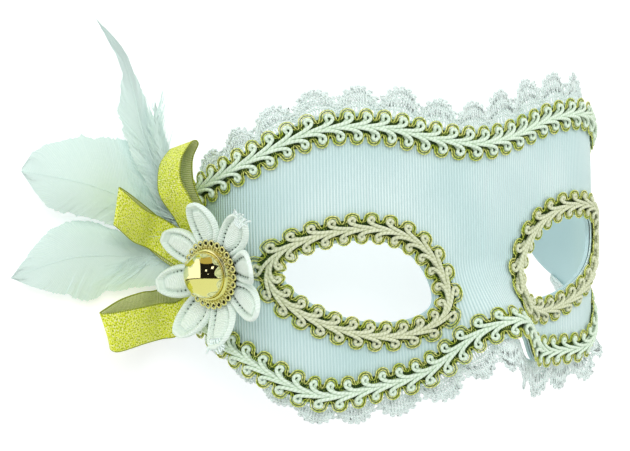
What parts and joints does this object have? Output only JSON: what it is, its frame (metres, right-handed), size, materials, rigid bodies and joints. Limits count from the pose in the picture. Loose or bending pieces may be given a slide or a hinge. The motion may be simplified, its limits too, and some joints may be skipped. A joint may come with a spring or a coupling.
{
  "type": "masquerade mask",
  "caption": "Half-face masquerade mask covered in ribbed satin, edged with gimp braid and lace, with a feather, ribbon and flower spray on one temple.",
  "frame": {"origin": "under the middle of the whole object, on the plane of the two temple edges that it rests on", "axes": "+X across the mask from the flowered temple to the plain one, +Y up the face towards the brow, +Z out of the face"},
  "size_m": [0.2058, 0.1234, 0.0733],
  "materials": {
    "shell": "smooth",
    "satin": "ribbed satin",
    "braid": "cream cord with gold thread",
    "lace": "stitched thread",
    "ribbon": "metallic organza",
    "feather": "soft barbs",
    "gold": "polished"
  },
  "bodies": {
    "root": {"mask_shell": "shell", "satin_cover": "satin", "edge_braid": "braid", "eye_braid_left": "braid", "eye_braid_right": "braid", "lace_top": "lace", "lace_bottom": "lace", "gold_ribbon_bow": "ribbon", "feather_tall": "feather", "feather_short": "feather", "feather_upper": "feather", "feather_lower": "feather", "lace_daisy": "lace", "button_setting": "gold", "button_dome": "gold"}
  },
  "joints": []
}
